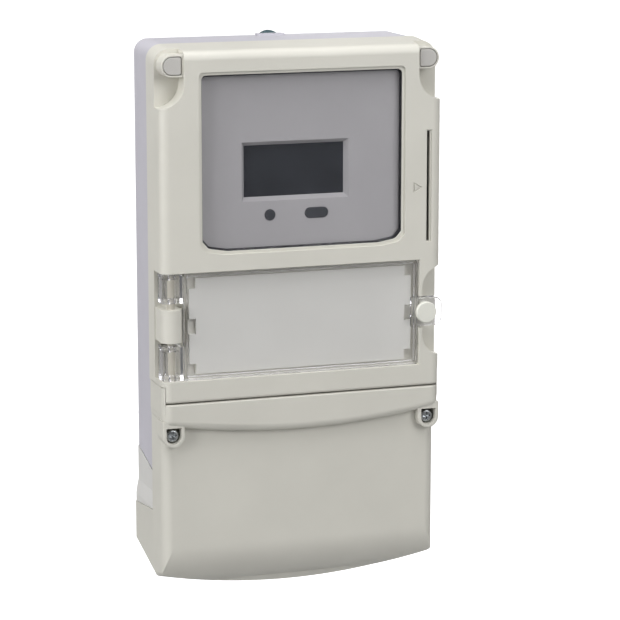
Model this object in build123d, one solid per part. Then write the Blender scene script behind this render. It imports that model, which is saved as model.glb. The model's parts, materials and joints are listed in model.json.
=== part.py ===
"""Prepaid electricity meter for wall mounting, with a flip door, card slot and terminal cover.

X runs to the right, seen from the front, and Z up. The back of the base lies on the wall at Y = 0
and the front faces -Y. Most places are given as (x, depth, z), where depth is the distance from
the wall, so depth = -Y. All sizes are in millimetres.
"""

import os
from math import cos, radians, sin

from build123d import *

# Driving sizes
DEPTH = 62.0            # wall to front face
JOINT = 36.0            # wall to the joint between base and covers
COVER_HALF = 76.0       # half the width of the upper cover
BASE_HALF = 73.0        # half the width of the base
TOP = 143.6             # top of the upper cover
PARTING = -38.5         # bottom of the upper cover
WALL = 2.2              # thickness of every moulded wall
EDGE_RADIUS = 4.8       # rounding of the cover's front edges
TOP_FALL = 2.0          # the cover's top falls towards the front
CARD_WIDTH = 53.98      # ISO identification card
CARD_THICK = 0.76
FIT = 0.05              # radial clearance of a shaft that turns
GAP = 0.4               # clearance between parts that move past each other

COVER_INSIDE = COVER_HALF - WALL
BASE_INSIDE = BASE_HALF - WALL
BASE_TOP = TOP - 0.2
BACK = 2.5              # thickness of the base's back wall

# Joint between base and upper cover: the base's rim stands inside the cover, a gasket lies on it
RIM = JOINT + 3.0
RIM_HALF = COVER_INSIDE - 0.9
RIM_TOP = TOP - WALL - GAP
CHAMBER_FLOOR = PARTING + WALL + GAP
GASKET = 1.4
LEDGE = RIM + GASKET

# Display window
WINDOW_HALF = 54.0
WINDOW_LOW = 39.1
WINDOW_HIGH = 129.4
FACE_DEPTH = 56.4       # front of the grey faceplate
LCD_X = -3.0
LCD_Z = 78.8
LCD_WIDTH = 53.9
LCD_HEIGHT = 26.6
BEZEL = 2.0             # width of the bevelled frame around the display
LCD_DEPTH = 53.4
LED_X = -16.8
SENSOR_Z = 56.2
SENSOR_X = 8.4
BOARD_DEPTH = 44.4      # back of the main board
BOARD = 1.6

# Card slot
SLOT_X = 68.6
SLOT_Z = 67.7
SLOT_LENGTH = CARD_WIDTH + 4.0
SLOT_WIDTH = 2 * CARD_THICK

# Corner pockets and the towers that hold the screw plugs
POCKET_X = 63.0
POCKET_FLOOR = 51.0
POCKET_RADIUS = 13.0
TOWER_X = 69.0
TOWER_Z = 134.4
PLUG_RADIUS = 4.5
TOWER_FRONT = 60.0

# Flip door, its hinge and its knob
RECESS_LOW = -27.3
RECESS_HIGH = 29.0
RECESS_RIGHT = 64.0
RECESS_FLOOR = 54.6
TROUGH_RIGHT = -61.0
TROUGH_FLOOR = 47.0
HINGE_X = -69.8
HINGE_DEPTH = 56.0
BARREL = 5.6            # half the width of a knuckle
PIN = 2.0
POST_LOW = -7.2
POST_HIGH = 10.0
DOOR_FRONT = HINGE_DEPTH + BARREL
DOOR_THICK = 1.8
DOOR_LEFT = HINGE_X + BARREL + GAP
KNOB_X = 67.5
KNOB_Z = 1.0
KNOB_RADIUS = 5.6
EAR_HALF = 7.8          # half the height of the ear around the knob
EAR_REACH = 9.4         # how far the ear reaches past the middle of the knob
NOTCH_X = 65.5
NOTCH_RADIUS = 12.5
NOTCH_FLOOR = 53.0

# Terminal cover
BAND_TOP = PARTING - 0.7
BAND_HALF = 75.6
BAND_LOW = -57.4        # lower edge of the band at the middle
BAND_CURVE = 417.0      # radius of that edge
LIP = 5.5               # step from the band back to the lower face
LIP_RADIUS = 4.0        # rounding of the band's lower edge
LOWER_FRONT = DEPTH - LIP
SIDE_REAR = 74.7        # half width of the terminal cover at the wall
SIDE_FRONT = 75.4
SIDE_RADIUS = 5.0       # rounding of the lower face's upright edges
CURL = 25.0             # radius of the lower front edge
CURL_START = -118.0
CURL_ANGLE = 62.0
BOTTOM_CURVE = 330.0
BOTTOM_REAR = -136.2    # lowest point at the wall, and from there the bottom falls
BOTTOM_FALL = 0.24
BOTTOM_FRONT = -156.3   # lowest point of the front part, which rises to the front
BOTTOM_RISE = 0.3
WING = 74.3             # where the wings' inner face meets the upper cover
WING_TOP = -30.3
CHEEK_FLARE = -93.0     # where the side cheeks start to flare out to the cover's width
CHEEK_LOW = -105.0      # lower end of the side cheeks at the wall, and from there it rises
CHEEK_RISE = 0.12

# Bosses and posts for the seal screws
BOSS_X = 70.0
BOSS_Z = -56.3
BOSS_HALF = 5.85
BOSS_REAR = 49.6
BOSS_HOLE_HALF = 4.0
SEAL_HEAD_FRONT = 58.5
SEAL_HEAD_RADIUS = 3.3
SEAL_SHANK = 1.6
POST_RADIUS = 2.9
POST_FRONT = 48.4
INSERT_RADIUS = 2.3

# Terminals
BLOCK_HALF = 58.0
BLOCK_FRONT = 38.0
BLOCK_LOW = -100.0
BLOCK_HIGH = -54.0
TERMINALS = 8
PITCH = 14.0
WIRE_RADIUS = 4.25
WIRE_DEPTH = 24.0
CAGE_LOW = -95.0
CAGE_HIGH = -64.0
CAGE = 11.0             # width and depth of a clamp cage
TERMINAL_XS = [PITCH * (i - (TERMINALS - 1) / 2) for i in range(TERMINALS)]

# Lower fixing holes and the hanger
TONGUE_HALF = 68.0
FIXING_X = 62.0
FIXING_Z = -92.0
FIXING_RADIUS = 2.75
TAB_X = 61.0            # screws in the upper cover's lower tabs
TAB_Z = -45.0
TAB_FRONT = 46.0
TAB_THICK = 2.6
COVER_SCREW_X = TOWER_X - 1.4
COVER_SCREW_FRONT = 49.2
SCREW_HOLE = 1.7        # hole for the cover screws' shanks
HANGER_HALF = 7.0
HANGER_TOP = 145.9
HANGER_NEAR = 1.8       # wall to the near face of the hanger plate
HANGER_THICK = 1.6
HANGER_TRAVEL = 16.0
HANGER_PIN_Z = 124.0
HANGER_LOW = 100.0
HANGER_SLOT = 1.8       # half the width of the hanger's slot
RIVET = 1.5

# Boards, relays and small parts
STANDOFFS = [(x, z) for x in (-53.0, 53.0) for z in (44.0, 122.0)]
POWER_BACK = 12.0
POWER_FRONT = POWER_BACK + BOARD
CORE_X = -26.0
CORE_Z = 104.0
CORE_LEG = 4.8          # half the width of the core's middle leg
RELAY_XS = [-42.0, -14.0, 14.0]
RELAY_LOW = -30.0
RELAY_HIGH = 2.0
PHASE_DEPTH = 18.0      # wall to the studs through the current transformers
BUSBAR_HALF = 3.0
BUSBAR_THICK = 1.6
CELL_RADIUS = 7.2
MODULE_BACK = 34.0
CLAMP_SCREW_ZS = (-87.0, -73.0)
BLOCK_SCREW_X = 42.0
BLOCK_SCREW_Z = -58.0
AUX_XS = [8.0 * (i - 2.5) for i in range(6)]
AUX_SCREW_Z = -59.0


# Helpers ---------------------------------------------------------------------------------------

def block(xs, depths, zs):
    """A box between two values of x, of depth and of z."""
    centre = Pos((xs[0] + xs[1]) / 2, -(depths[0] + depths[1]) / 2, (zs[0] + zs[1]) / 2)
    return centre * Box(abs(xs[1] - xs[0]), abs(depths[1] - depths[0]), abs(zs[1] - zs[0]))


def front_prism(outline, near, far):
    """An outline in X and Z made solid from one depth to another."""
    return extrude(Plane.XZ.offset(near) * outline, amount=far - near, dir=(0, -1, 0))


def side_prism(outline, x_low, x_high):
    """An outline in depth and Z made solid from one x to another."""
    plane = Plane(origin=(x_high, 0, 0), x_dir=(0, -1, 0), z_dir=(-1, 0, 0))
    return extrude(plane * outline, amount=x_high - x_low, dir=(-1, 0, 0))


def top_prism(outline, low, high):
    """An outline in X and Y made solid from one z to another."""
    return extrude(Plane.XY.offset(low) * outline, amount=high - low, dir=(0, 0, 1))


def rod(x, z, radius, near, far):
    """A cylinder along Y."""
    return Pos(x, -(near + far) / 2, z) * Rot(90, 0, 0) * Cylinder(radius, far - near)


def upright(x, depth, radius, low, high):
    """A cylinder along Z."""
    return Pos(x, -depth, (low + high) / 2) * Cylinder(radius, high - low)


def lying(x_low, x_high, depth, z, radius):
    """A cylinder along X."""
    return Pos((x_low + x_high) / 2, -depth, z) * Rot(0, 90, 0) * Cylinder(radius, x_high - x_low)


def polygon(*points):
    """A flat outline through the points."""
    return Polygon(*points, align=None)


def mirrored(solid):
    """The same solid on the other side of the meter."""
    return mirror(solid, Plane.YZ)


def both_sides(solid):
    """A solid and its mirror image."""
    return [solid, mirrored(solid)]


def cut(body, tools):
    """A body with several solids taken away."""
    for tool in tools:
        body = body - tool
    return body


def joined(body, extras):
    """A body with several solids added."""
    for extra in extras:
        body = body + extra
    return body


def rounded_top(half, low, high, radius):
    """A rectangle with its two upper corners rounded."""
    outline = Pos(0, (low + high) / 2) * Rectangle(2 * half, high - low)
    return fillet(outline.vertices().sort_by(Axis.Y)[-2:], radius)


def d_outline(x, z, radius, flat):
    """A half disc that faces +X, with a straight part that reaches back to x = flat."""
    back = Pos((flat + x) / 2, z) * Rectangle(x - flat, 2 * radius)
    outline = Pos(x, z) * Circle(radius) + back
    return fillet(outline.vertices().sort_by(Axis.X)[:2], 1.2)


def pan_screw(x, z, head_front, head_radius, shank_radius, tip):
    """A cross-recess pan-head screw along Y, whose head faces the front."""
    seat = head_front - 2.2
    head = rod(x, z, head_radius, seat, head_front)
    head = fillet(head.faces().sort_by(Axis.Y)[0].edges(), 0.9)
    arm = 0.62 * head_radius
    slots = [
        block((x - arm, x + arm), (head_front - 1.3, head_front + 1), (z - 0.45, z + 0.45)),
        block((x - 0.45, x + 0.45), (head_front - 1.3, head_front + 1), (z - arm, z + arm)),
    ]
    return cut(head, slots) + rod(x, z, shank_radius, tip, seat)


# Base ------------------------------------------------------------------------------------------

def diagonal(offset):
    """The area above the slanting lower end of the base's sides, in depth and Z."""
    near, far = -72.3 + offset, -83.0 + offset
    return polygon((-5, near), (JOINT + 0.6, far), (JOINT + 0.6, 0), (-5, 0))


def base_outer():
    """The base's outside: a shallow box with rounded upper corners and a soft back edge."""
    outer = front_prism(rounded_top(BASE_HALF, -90, BASE_TOP, 7.0), 0, JOINT)
    back_edges = outer.faces().sort_by(Axis.Y)[-1].edges()
    rim = front_prism(rounded_top(RIM_HALF, -90, RIM_TOP, 6.0), JOINT, RIM)
    return fillet(back_edges, 2.0) + rim


def base_tray():
    """The base's walls, open to the front, with the tongue behind the terminals."""
    sides = base_outer()
    upper_room = front_prism(
        rounded_top(BASE_INSIDE, CHAMBER_FLOOR + WALL, RIM_TOP - WALL, 5.0), BACK, 70)
    lower_room = block((-BASE_INSIDE, BASE_INSIDE), (BACK, 70), (-95, CHAMBER_FLOOR))
    body = cut(sides, [upper_room, lower_room])
    below = block((-80, 80), (-1, 80), (-100, -70)) - side_prism(diagonal(0), -80, 80)
    body = cut(body, [below, block((-80, 80), (JOINT, 80), (-100, CHAMBER_FLOOR))])
    tongue = block((-TONGUE_HALF, TONGUE_HALF), (0, BACK), (BLOCK_LOW - 2, -60))
    corner_posts = both_sides(rod(COVER_SCREW_X, TOWER_Z, 4.2, 1, RIM) & sides)
    return joined(body, [tongue] + corner_posts)


def base_posts():
    """The posts for the seal screws, the cover's lower screws and the power board."""
    posts = both_sides(rod(BOSS_X, BOSS_Z, POST_RADIUS, 1, POST_FRONT))
    posts += both_sides(rod(TAB_X, TAB_Z, 3.6, 1, TAB_FRONT - TAB_THICK - 0.2))
    return posts + [rod(x, z, 3.4, 1, POWER_BACK) for x in (-44, 44) for z in (38, 124)]


def base_openings():
    """The hanger's channel, the screw holes, the fixing holes and the busbars' slots."""
    channel = block((-HANGER_HALF - GAP, HANGER_HALF + GAP), (-1, HANGER_NEAR + HANGER_THICK + 0.2),
                    (HANGER_LOW - 3, BASE_TOP + 9))
    openings = [channel, rod(0, HANGER_PIN_Z, RIVET, -1, 7)]
    openings += both_sides(rod(COVER_SCREW_X, TOWER_Z, SCREW_HOLE, 20, 50))
    openings += both_sides(rod(TAB_X, TAB_Z, SCREW_HOLE, 20, 50))
    openings += both_sides(rod(BOSS_X, BOSS_Z, INSERT_RADIUS, POST_FRONT - 10, 50))
    openings += both_sides(rod(FIXING_X, FIXING_Z, FIXING_RADIUS, -1, 4))
    for x in TERMINAL_XS:
        openings.append(block((x - BUSBAR_HALF - 0.6, x + BUSBAR_HALF + 0.6),
                              (WIRE_DEPTH - BUSBAR_THICK + 0.1, WIRE_DEPTH + BUSBAR_THICK - 0.1),
                              (PARTING - 1.5, CHAMBER_FLOOR + 4)))
    return openings


def base_case():
    """The tray that is fastened to the wall and holds everything."""
    rivet_pad = block((-12, 12), (1, 5.8), (94, BASE_TOP - 1))
    hanger_hood = block((-7.5, 7.5), (3.6, 8.0), (BASE_TOP - 3, BASE_TOP + 1.0))
    body = joined(base_tray(), [rivet_pad, hanger_hood] + base_posts())
    return cut(body, base_openings())


def below_cheeks(depth, clearance=0.0):
    """The height of the side cheeks' lower end at a depth, less a clearance."""
    return CHEEK_LOW + CHEEK_RISE * depth - clearance


def side_cheek():
    """The pale cheek that carries the base's right side on down beside the terminals."""
    outline = polygon((0, -60), (JOINT, -60), (JOINT, below_cheeks(JOINT)), (0, CHEEK_LOW))
    side = side_prism(outline - diagonal(-2 * GAP), BASE_INSIDE, BASE_HALF)
    flare = polygon((BASE_HALF - 1, CHEEK_FLARE), (BASE_HALF, CHEEK_FLARE),
                    (SIDE_REAR, below_cheeks(JOINT)), (SIDE_REAR, CHEEK_LOW),
                    (BASE_HALF - 1, CHEEK_LOW))
    side = side_prism(outline, BASE_INSIDE, SIDE_REAR) & front_prism(flare, 0, JOINT) + side
    back_edge = side.edges().filter_by(Axis.Z).sort_by(Axis((0, 0, 0), (1, 1, 0)))[-1]
    foot = block((65.5, BASE_INSIDE + 1), (BACK, BACK + WALL), (-86.5, -76))
    return fillet(back_edge, 1.5) + foot


def mounting_hanger():
    """The steel plate behind the base that slides up to show its hanging hole."""
    centre = HANGER_TOP - HANGER_HALF
    outline = Pos(0, centre) * Circle(HANGER_HALF)
    outline += Pos(0, (HANGER_LOW + centre) / 2) * Rectangle(2 * HANGER_HALF, centre - HANGER_LOW)
    outline -= Pos(0, centre) * Circle(FIXING_RADIUS)
    slot_low = HANGER_PIN_Z - HANGER_TRAVEL - GAP
    slot_high = HANGER_PIN_Z + GAP
    slot = Pos(0, (slot_low + slot_high) / 2) * Rectangle(2 * HANGER_SLOT, slot_high - slot_low)
    slot += Pos(0, slot_low) * Circle(HANGER_SLOT)
    slot += Pos(0, slot_high) * Circle(HANGER_SLOT)
    return front_prism(outline - slot, HANGER_NEAR, HANGER_NEAR + HANGER_THICK)


def hanger_rivet():
    """The flat-headed rivet that the hanger slides on."""
    return rod(0, HANGER_PIN_Z, 2 * RIVET, 0.5, 1.6) + rod(0, HANGER_PIN_Z, RIVET, 1.6, 6.6)


# Upper cover -----------------------------------------------------------------------------------

def corner_pocket(wall):
    """The open notch at the right-hand top corner, grown by a wall."""
    corner = POCKET_RADIUS + wall
    centre_z = TOP - 17.6
    outline = Pos(COVER_HALF, centre_z) * Circle(corner)
    outline += polygon((COVER_HALF - corner, centre_z), (COVER_HALF + 20, centre_z),
                       (COVER_HALF + 20, TOP + 10), (COVER_HALF - corner, TOP + 10))
    return front_prism(outline, POCKET_FLOOR - wall, DEPTH + 5)


def knob_notch(wall):
    """The open notch around the door's knob, grown by a wall."""
    centre_x = NOTCH_X + NOTCH_RADIUS
    radius = NOTCH_RADIUS + wall
    reach = 11.7
    outline = Pos(centre_x, KNOB_Z + 0.5 + reach) * Circle(radius)
    outline += Pos(centre_x, KNOB_Z + 0.5 - reach) * Circle(radius)
    outline += Pos(centre_x, KNOB_Z + 0.5) * Rectangle(2 * radius, 2 * reach)
    return front_prism(outline, NOTCH_FLOOR - wall, DEPTH + 5)


def door_recess(wall):
    """The recess under the door, with the deeper trough for its hinge, grown by a wall."""
    zs = (RECESS_LOW - wall, RECESS_HIGH + wall)
    shallow = block((-90, RECESS_RIGHT + wall), (RECESS_FLOOR - wall, DEPTH + 5), zs)
    return shallow + block((-90, TROUGH_RIGHT + wall), (TROUGH_FLOOR - wall, DEPTH + 5), zs)


def window_outline(inset):
    """The window: square upper corners, and lower corners swept up in flat curves."""
    half = WINDOW_HALF - inset
    low = WINDOW_LOW + inset
    high = WINDOW_HIGH - inset
    sweep, rise = 13.0, 5.5
    outline = polygon((-half, high), (-half, low + rise), (-half + sweep * 0.25, low + rise * 0.3),
                      (-half + sweep, low), (half - sweep, low),
                      (half - sweep * 0.25, low + rise * 0.3), (half, low + rise), (half, high))
    corners = outline.vertices().sort_by(Axis.Y)
    outline = fillet(corners[-2:], 2.5)
    bends = outline.vertices().filter_by(lambda v: v.Y < low + rise * 0.5)
    return fillet(bends, 4.0)


def wing_seam(clearance):
    """The area below the seam where the terminal cover's wings lie, in depth and Z."""
    top = WING_TOP + clearance
    return polygon((70, top), (30, top), (30, -45), (70, -45))


def cover_outer():
    """The outside of the upper cover, with its falling top and rounded front edges."""
    rear = Plane.XZ.offset(JOINT) * rounded_top(COVER_HALF, PARTING, TOP, 8.0)
    front = Plane.XZ.offset(DEPTH) * rounded_top(COVER_HALF, PARTING, TOP - TOP_FALL, 8.0)
    outer = loft([rear, front], ruled=True)
    front_edges = outer.faces().sort_by(Axis.Y)[0].edges().sort_by(Axis.Z)
    outer = fillet(front_edges[1:], EDGE_RADIUS)
    lower_edge = outer.faces().sort_by(Axis.Y)[0].edges().sort_by(Axis.Z)[0]
    return fillet(lower_edge, 1.5)


def cover_room():
    """The hollow of the upper cover, which follows its top."""
    front = DEPTH - WALL - 0.4
    outline = rounded_top(COVER_INSIDE, PARTING + WALL, TOP - WALL, 6.0)
    profile = polygon((0, -60), (front, -60), (front, TOP - TOP_FALL - WALL - 5),
                      (front - 5, TOP - TOP_FALL - WALL), (JOINT, TOP - WALL), (0, TOP - WALL))
    return front_prism(outline, JOINT - 1, front) & side_prism(profile, -90, 90)


def upper_cover():
    """The cream cover over display, card slot and door."""
    outer = cover_outer()
    room = cover_room()
    room = cut(room, both_sides(corner_pocket(WALL)))
    room = cut(room, [knob_notch(WALL), door_recess(WALL)])
    ledge_ring = block((-80, 80), (LEDGE, LEDGE + 2), (-60, 150))
    ledge_ring -= front_prism(rounded_top(70.4, PARTING + 5.6, TOP - 5.6, 4.0), 30, 50)
    room = cut(room, [ledge_ring])
    side_doubler = block((72, 80), (LEDGE, 70), (PARTING - 1, -25.4))
    room = cut(room, both_sides(side_doubler))
    cover_screw_tube = rod(COVER_SCREW_X, TOWER_Z, 5.6, LEDGE, POCKET_FLOOR)
    room = cut(room, both_sides(cover_screw_tube))
    body = cut(outer, [room, knob_notch(0), door_recess(0)] + both_sides(corner_pocket(0)))
    tower = front_prism(d_outline(TOWER_X, TOWER_Z, PLUG_RADIUS + 1.2, POCKET_X - 1),
                        POCKET_FLOOR - 1, TOWER_FRONT)
    body = joined(body, both_sides(fillet(tower.faces().sort_by(Axis.Y)[0].edges(), 0.4)))
    body = body + hinge_post()
    body = joined(body, both_sides(lower_tab()))
    body = cut(body, [window_opening(), card_opening(), module_opening(), ear_gap()])
    body = cut(body, [door_pin_bore(), slot_arrow()])
    body = cut(body, both_sides(plug_seat()))
    body = cut(body, both_sides(wing_rebate()))
    tab_hole = rod(TAB_X, TAB_Z, 2.0, 40, 50)
    return cut(body, both_sides(tab_hole))


def hinge_post():
    """The knuckle of the cover between the door's two knuckles."""
    zs = (POST_LOW, POST_HIGH)
    web = block((HINGE_X - BARREL, HINGE_X + BARREL - 1), (TROUGH_FLOOR - 1, HINGE_DEPTH), zs)
    return web + upright(HINGE_X, HINGE_DEPTH, BARREL, *zs)


def lower_tab():
    """A tab under the parting line, where a screw holds the cover's lower edge."""
    return block((TAB_X - 5.5, TAB_X + 5.5), (TAB_FRONT - TAB_THICK, TAB_FRONT),
                 (TAB_Z - 5, PARTING + 1))


def window_opening():
    """The display opening, with a bevel around its front edge."""
    through = front_prism(window_outline(0), DEPTH - 6, DEPTH + 1)
    bevel = front_prism(window_outline(-1.5), DEPTH - 1.0, DEPTH + 1)
    return through + bevel


def card_opening():
    """The slot that a card goes into, with a chamfered mouth."""
    half = SLOT_WIDTH / 2
    zs = (SLOT_Z - SLOT_LENGTH / 2, SLOT_Z + SLOT_LENGTH / 2)
    through = block((SLOT_X - half, SLOT_X + half), (DEPTH - 5, DEPTH + 1), zs)
    mouth = block((SLOT_X - half - 0.5, SLOT_X + half + 0.9), (DEPTH - 0.7, DEPTH + 1),
                  (zs[0] - 0.5, zs[1] + 0.5))
    return through + mouth


def module_opening():
    """The opening in the recess floor behind the inner panel."""
    return block((-52, 52), (RECESS_FLOOR - 4, RECESS_FLOOR + 1), (-19, 19))


def ear_gap():
    """The gap that lets the door's ear pass from the recess into the knob notch."""
    return block((RECESS_RIGHT - 1, NOTCH_X + 1), (RECESS_FLOOR, DEPTH + 5),
                 (KNOB_Z - EAR_HALF - 0.6, KNOB_Z + EAR_HALF + 0.6))


def door_pin_bore():
    """The bore for the hinge pin in the cover's knuckle and the recess's two ends."""
    return upright(HINGE_X, HINGE_DEPTH, PIN, RECESS_LOW - 1.8, RECESS_HIGH + 1.8)


def slot_arrow():
    """A shallow triangle that points at the card slot."""
    outline = polygon((60.2, 70.0), (64.9, 67.2), (60.2, 64.4))
    inner = offset(outline, amount=-0.65)
    return front_prism(outline - inner, DEPTH - 0.35, DEPTH + 1)


def plug_seat():
    """The D-shaped seat for a plug, with the screw's seat and hole behind it."""
    seat = front_prism(d_outline(TOWER_X, TOWER_Z, PLUG_RADIUS + 0.25, 63.8), 56.8, 65)
    head = rod(COVER_SCREW_X, TOWER_Z, 3.9, 47, 60)
    return seat + head + rod(COVER_SCREW_X, TOWER_Z, 2.1, 38, 50)


def wing_rebate():
    """The step in the cover's side for a wing of the terminal cover."""
    step = side_prism(wing_seam(0.35), WING - 0.15, 80)
    return step + side_prism(wing_seam(0.35) & (Pos(35, -35) * Rectangle(2 * (LEDGE - 35), 60)),
                             73.2, 80)


def screw_plug():
    """The grey plug that hides a cover screw."""
    outline = d_outline(TOWER_X, TOWER_Z, PLUG_RADIUS - 0.05, 64.1)
    plug = front_prism(outline, 56.8, TOWER_FRONT + 0.1)
    return fillet(plug.faces().sort_by(Axis.Y)[0].edges(), 0.5)


def cover_gasket():
    """The seal between the base's rim and the cover."""
    outer = rounded_top(RIM_HALF - 0.3, CHAMBER_FLOOR + 0.3, RIM_TOP - 0.3, 5.7)
    inner = rounded_top(RIM_HALF - 1.9, CHAMBER_FLOOR + 1.9, RIM_TOP - 1.9, 4.1)
    return front_prism(outer - inner, RIM, LEDGE)


def window_lens():
    """The clear pane: a flange behind the opening and a raised centre that fills it."""
    flange = block((-57.4, 57.4), (DEPTH - 4.3, DEPTH - WALL - 0.4),
                   (WINDOW_LOW - 3.2, WINDOW_HIGH + 3.2))
    return flange + front_prism(window_outline(0.15), DEPTH - 3, DEPTH - 1.2)


def faceplate():
    """The grey plate behind the window, with a bevelled frame for the display."""
    plate = block((-57, 57), (FACE_DEPTH - 1.4, FACE_DEPTH), (WINDOW_LOW - 3, WINDOW_HIGH + 3))
    outer = Pos(LCD_X, LCD_Z) * Rectangle(LCD_WIDTH + 2 * BEZEL, LCD_HEIGHT + 2 * BEZEL)
    sill = Pos(LCD_X, LCD_Z) * Rectangle(LCD_WIDTH + 2 * BEZEL + 3, LCD_HEIGHT + 2 * BEZEL + 3)
    plate = plate + front_prism(sill, LCD_DEPTH, FACE_DEPTH)
    mouth = loft([Plane.XZ.offset(LCD_DEPTH - 0.01) * (Pos(LCD_X, LCD_Z)
                                                      * Rectangle(LCD_WIDTH, LCD_HEIGHT)),
                  Plane.XZ.offset(FACE_DEPTH + 0.01) * outer])
    dot = rod(LED_X, SENSOR_Z, 3.0, 50, 60)
    return cut(plate, [mouth, dot, front_prism(sensor_outline(0), 50, 60)])


def sensor_outline(inset):
    """The oblong of the infrared window."""
    return Pos(SENSOR_X, SENSOR_Z) * SlotOverall(12.9 - 2 * inset, 5.8 - 2 * inset)


# Display and electronics -----------------------------------------------------------------------

def lcd_glass():
    """The liquid crystal cell."""
    return block((LCD_X - 30, LCD_X + 30), (LCD_DEPTH - 2.2, LCD_DEPTH), (LCD_Z - 16, LCD_Z + 16))


def lcd_backlight():
    """The light box between the display and the main board."""
    box = block((LCD_X - 29, LCD_X + 29), (BOARD_DEPTH + BOARD, LCD_DEPTH - 2.2),
                (LCD_Z - 15, LCD_Z + 15))
    return fillet(box.edges().filter_by(Axis.Y), 1.0)


def pulse_led():
    """The lamp that flashes with the load."""
    stem = rod(LED_X, SENSOR_Z, 2.0, BOARD_DEPTH + BOARD, 52)
    return fillet(stem.faces().sort_by(Axis.Y)[0].edges(), 1.6)


def pulse_led_window():
    """The round dark window in front of the lamp."""
    disc = rod(LED_X, SENSOR_Z, 2.95, FACE_DEPTH - 2.2, FACE_DEPTH + 0.3)
    return fillet(disc.faces().sort_by(Axis.Y)[0].edges(), 0.3)


def infrared_window():
    """The oblong dark window in front of the infrared pair."""
    slab = front_prism(sensor_outline(0.05), FACE_DEPTH - 2.2, FACE_DEPTH + 0.3)
    return fillet(slab.faces().sort_by(Axis.Y)[0].edges(), 0.3)


def infrared_pair():
    """The infrared sender and receiver."""
    lamps = []
    for x in (SENSOR_X - 3.2, SENSOR_X + 3.2):
        stem = rod(x, SENSOR_Z, 1.5, BOARD_DEPTH + BOARD, 53)
        lamps.append(fillet(stem.faces().sort_by(Axis.Y)[0].edges(), 1.2))
    return lamps


def main_board():
    """The circuit board behind the display."""
    board = block((-58, 58), (BOARD_DEPTH, BOARD_DEPTH + BOARD), (36, 130))
    return cut(board, [rod(x, z, 1.7, 40, 50) for x, z in STANDOFFS])


def board_standoffs():
    """Hexagonal pillars that carry the main board."""
    pillars = []
    for x, z in STANDOFFS:
        pillar = front_prism(Pos(x, z) * RegularPolygon(3.0, 6), BACK, BOARD_DEPTH)
        pillars.append(pillar - rod(x, z, 1.5, BOARD_DEPTH - 8, BOARD_DEPTH + 1))
    return pillars


def board_screws():
    """Screws that hold the main board to its pillars."""
    return [pan_screw(x, z, BOARD_DEPTH + BOARD + 2.2, 2.8, 1.5, BOARD_DEPTH - 6)
            for x, z in STANDOFFS]


def power_board():
    """The power supply's circuit board, on four pillars of the base."""
    return block((-48, 48), (POWER_BACK, POWER_FRONT), (34, 128))


def core_stack(half, half_height):
    """A block as deep as the core's sheets, around the middle of the transformer."""
    return block((CORE_X - half, CORE_X + half), (POWER_FRONT + 3, POWER_FRONT + 19),
                 (CORE_Z - half_height, CORE_Z + half_height))


def transformer_core():
    """The laminated iron core of the supply's transformer."""
    window = core_stack(12.0, 12.0) - core_stack(CORE_LEG, 12.0)
    return core_stack(16.0, 18.0) - window


def transformer_coil():
    """The wound bobbin around the core's middle leg."""
    outer = block((CORE_X - 11.4, CORE_X + 11.4), (POWER_FRONT, POWER_FRONT + 22),
                  (CORE_Z - 11.7, CORE_Z + 11.7))
    return outer - core_stack(CORE_LEG, 18.0)


def capacitors():
    """Electrolytic capacitors on the power board."""
    cans = []
    for x in (8.0, 24.0, 40.0):
        can = rod(x, 112, 6.3, POWER_FRONT, POWER_FRONT + 20)
        cans.append(fillet(can.faces().sort_by(Axis.Y)[0].edges(), 0.8))
    return cans


def surge_arresters():
    """Disc varistors, one for each phase."""
    return [block((x - 2.2, x + 2.2), (POWER_FRONT + 4, POWER_FRONT + 5), (66, 67))
            + Pos(x, -(POWER_FRONT + 9), 66) * Rot(0, 90, 0) * Cylinder(7, 4.4)
            + block((x - 0.5, x + 0.5), (POWER_FRONT, POWER_FRONT + 5), (62, 70))
            for x in (-12.0, 0.0, 12.0)]


def backup_battery():
    """The lithium cell that keeps the clock running."""
    cell = lying(-44, -18, BOARD_DEPTH - 7.6, 52, CELL_RADIUS)
    return fillet(cell.edges(), 0.8) + lying(-18, -16.8, BOARD_DEPTH - 7.6, 52, 2.6)


def processor_chips():
    """The processor, the metering chip and the memory, on the back of the main board."""
    chips = [(18.0, 62.0, 14.0, 14.0), (-8.0, 84.0, 10.0, 8.0), (34.0, 84.0, 8.0, 6.0)]
    return [block((x - w / 2, x + w / 2), (BOARD_DEPTH - 1.6, BOARD_DEPTH), (z - h / 2, z + h / 2))
            for x, z, w, h in chips]


def buzzer():
    """The sounder that warns of low credit."""
    can = rod(44, 62, 6.0, BOARD_DEPTH - 8.5, BOARD_DEPTH)
    can = fillet(can.faces().sort_by(Axis.Y)[-1].edges(), 0.6)
    return can - rod(44, 62, 1.2, BOARD_DEPTH - 9, BOARD_DEPTH - 7)


def card_reader():
    """The guide behind the card slot: a flat case with a slot as wide as a card."""
    case = block((66, 70.2), (16, DEPTH - WALL - 0.4), (SLOT_Z - 31, SLOT_Z + 31))
    half = CARD_THICK / 2 + 0.2
    slot = block((SLOT_X - half, SLOT_X + half), (18, 70),
                 (SLOT_Z - CARD_WIDTH / 2 - 0.3, SLOT_Z + CARD_WIDTH / 2 + 0.3))
    window = block((60, 68), (20, 30), (SLOT_Z - 6.5, SLOT_Z + 6.5))
    return cut(case, [slot, window])


def card_contacts():
    """Eight sprung contacts that press on the card's chip."""
    contacts = []
    for row in range(4):
        for column in range(2):
            z = SLOT_Z + 2.54 * (row - 1.5)
            depth = 21.2 + 5.0 * column
            contacts.append(block((66, 68), (depth, depth + 3.4), (z - 0.7, z + 0.7)))
    return contacts


def contact_block():
    """The insulator that holds the card contacts."""
    return block((62.4, 66), (20.2, 30.6), (SLOT_Z - 6.3, SLOT_Z + 6.3))


# Switching and current paths -------------------------------------------------------------------

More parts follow.
